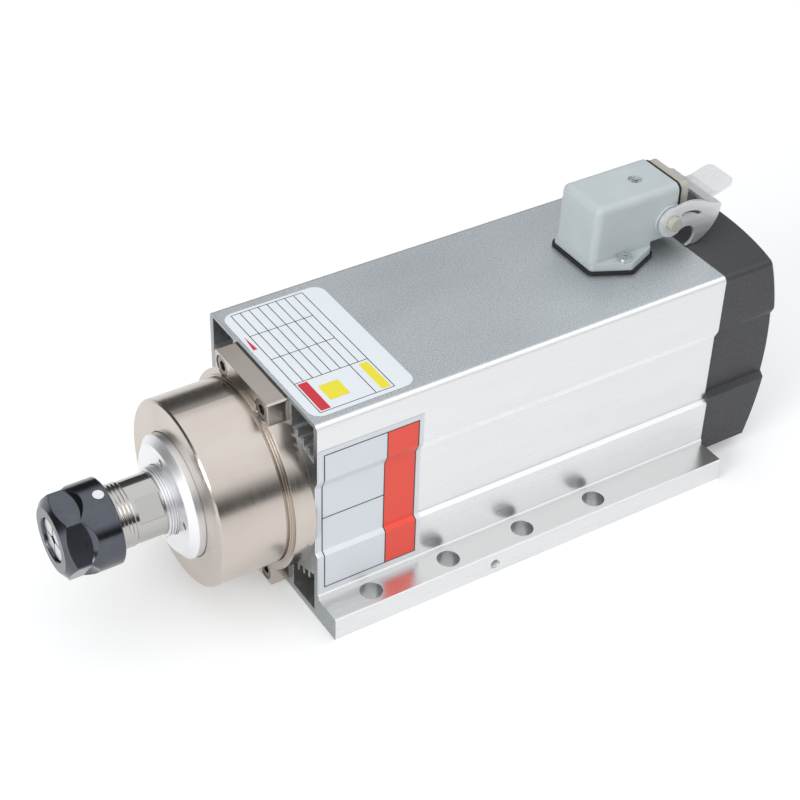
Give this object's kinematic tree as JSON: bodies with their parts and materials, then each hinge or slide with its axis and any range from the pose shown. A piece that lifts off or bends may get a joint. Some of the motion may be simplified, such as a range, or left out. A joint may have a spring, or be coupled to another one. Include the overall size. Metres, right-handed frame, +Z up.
{
  "type": "motor spindle",
  "caption": "Square air-cooled motor spindle with a collet nose, a flanged base, a rear fan cover and a power connector with a locking lever.",
  "frame": {"origin": "centre of the bolt pattern on the underside of the mounting base", "axes": "+X from the tool nose to the fan along the spindle axis, +Z up from the mounting base"},
  "size_m": [0.3101, 0.1088, 0.1228],
  "materials": {
    "extruded_aluminium": "satin, blasted top",
    "plated_nose": "turned, plated",
    "turned_aluminium": "turned",
    "cast_aluminium": "cast",
    "ground_steel": "ground",
    "screw_steel": "zinc plated",
    "spring_steel": "blued",
    "lamination_steel": "stacked sheet",
    "blackened_steel": "black oxide",
    "lever_steel": "stamped, zinc plated",
    "collet_steel": "ground",
    "bearing_steel": "polished",
    "copper_winding": "enamelled copper",
    "contact_brass": "silver plated",
    "grey_die_casting": "powder coated",
    "grey_plastic": "moulded",
    "black_plastic": "moulded",
    "cage_plastic": "moulded",
    "lead_plastic": "insulated wire",
    "black_rubber": "moulded"
  },
  "bodies": {
    "housing": {"motor_body": "extruded_aluminium", "front_bearing_housing": "plated_nose", "front_housing_screws": "screw_steel", "front_bearing_cap": "turned_aluminium", "front_bearing_outer_races": "bearing_steel", "rear_bearing_housing": "turned_aluminium", "rear_housing_screws": "screw_steel", "preload_spring": "spring_steel", "rear_bearing_outer_race": "bearing_steel", "stator_core": "lamination_steel", "stator_windings": "copper_winding", "rear_cover": "black_plastic", "cover_screws": "screw_steel", "connector_gasket": "black_rubber", "connector_housing": "grey_die_casting", "connector_screws": "screw_steel", "connector_seal": "black_rubber", "connector_insert": "grey_plastic", "insert_screw": "screw_steel", "connector_contacts": "contact_brass", "motor_leads": "lead_plastic", "lever_pivot_pins": "grey_plastic"},
    "spindle": {"spindle_shaft": "ground_steel", "labyrinth_sleeve": "turned_aluminium", "front_bearing_inner_races": "bearing_steel", "bearing_locknut": "ground_steel", "rotor_core": "lamination_steel", "rotor_end_rings": "cast_aluminium", "rear_bearing_inner_race": "bearing_steel", "rear_circlip": "spring_steel", "cooling_fan": "black_plastic", "fan_washer": "screw_steel", "fan_nut": "screw_steel"},
    "front_cage": {"front_bearing_balls": "bearing_steel", "front_bearing_cages": "cage_plastic"},
    "rear_cage": {"rear_bearing_balls": "bearing_steel", "rear_bearing_cage": "cage_plastic"},
    "collet": {"collet": "collet_steel"},
    "nut": {"collet_nut": "blackened_steel", "balance_screw": "screw_steel"},
    "lever": {"locking_lever": "lever_steel"}
  },
  "joints": [
    {"name": "spindle_spin", "type": "hinge", "parent": "housing", "child": "spindle", "pos_m": [0, 0, 0.0486], "axis": [1, 0, 0], "continuous": true},
    {"name": "front_cage_spin", "type": "hinge", "parent": "housing", "child": "front_cage", "pos_m": [0, 0, 0.0486], "axis": [1, 0, 0], "continuous": true},
    {"name": "rear_cage_spin", "type": "hinge", "parent": "housing", "child": "rear_cage", "pos_m": [0, 0, 0.0486], "axis": [1, 0, 0], "continuous": true},
    {"name": "collet_release", "type": "slide", "parent": "spindle", "child": "collet", "axis": [-1, 0, 0], "range_m": [0, 0.003]},
    {"name": "nut_turn", "type": "hinge", "parent": "collet", "child": "nut", "pos_m": [0, 0, 0.0486], "axis": [-1, 0, 0], "range_deg": [0, 720]},
    {"name": "lever_swing", "type": "hinge", "parent": "housing", "child": "lever", "pos_m": [0.1045, 0, 0.1081], "axis": [0, -1, 0], "range_deg": [0, 90]}
  ],
  "couplings": [
    {"joint": "front_cage_spin", "follows": "spindle_spin", "ratio": 0.4168},
    {"joint": "rear_cage_spin", "follows": "spindle_spin", "ratio": 0.4021},
    {"joint": "collet_release", "follows": "nut_turn", "m_per_rad": 0.00023873}
  ]
}
